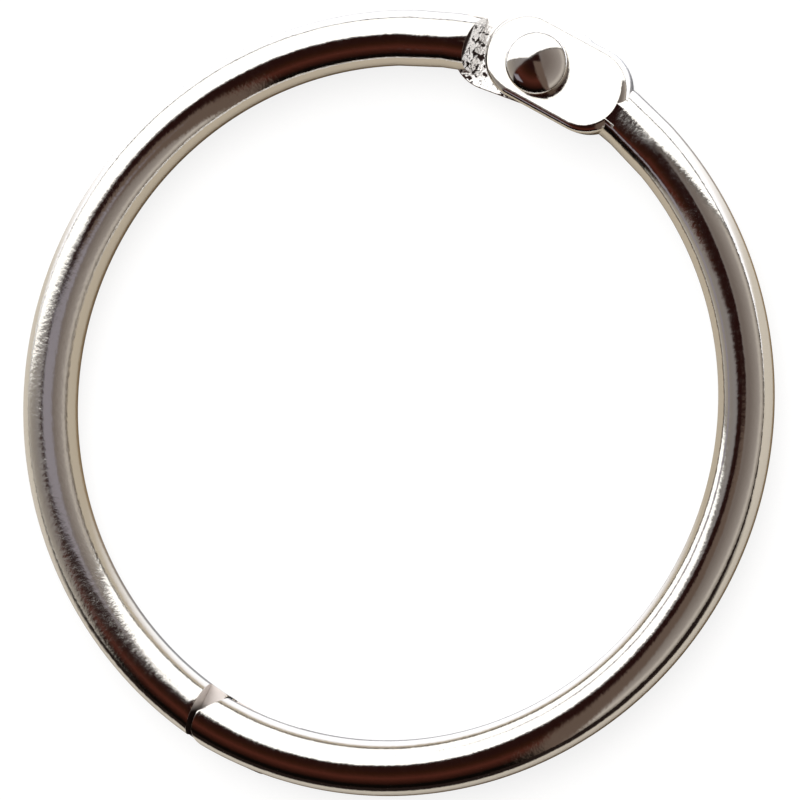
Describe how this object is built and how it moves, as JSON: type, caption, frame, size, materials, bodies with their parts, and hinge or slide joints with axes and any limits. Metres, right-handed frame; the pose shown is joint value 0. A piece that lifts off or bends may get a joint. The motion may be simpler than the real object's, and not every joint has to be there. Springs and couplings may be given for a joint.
{
  "type": "binder ring",
  "caption": "Hinged loose-leaf binder ring of bright nickel-plated wire: half rings turn on a domed rivet and meet in a lapped snap closure.",
  "frame": {"origin": "middle of the ring, on the wire's mid-plane, halfway between hinge and closure", "axes": "+Z out of the face with the rivet's domed head, +Y towards the hinge, +X towards the half that carries the front leaf"},
  "size_m": [0.0448, 0.0466, 0.0053],
  "materials": {
    "wire_nickel": "bright nickel plate on steel wire",
    "rivet_nickel": "bright nickel plate on a steel rivet"
  },
  "bodies": {
    "left_half": {"left_half_ring": "wire_nickel", "hinge_rivet": "rivet_nickel"},
    "right_half": {"right_half_ring": "wire_nickel"}
  },
  "joints": [
    {"name": "ring_hinge", "type": "hinge", "parent": "left_half", "child": "right_half", "pos_m": [0, 0.0212, 0], "axis": [0, 0, 1], "range_deg": [0, 130]}
  ]
}
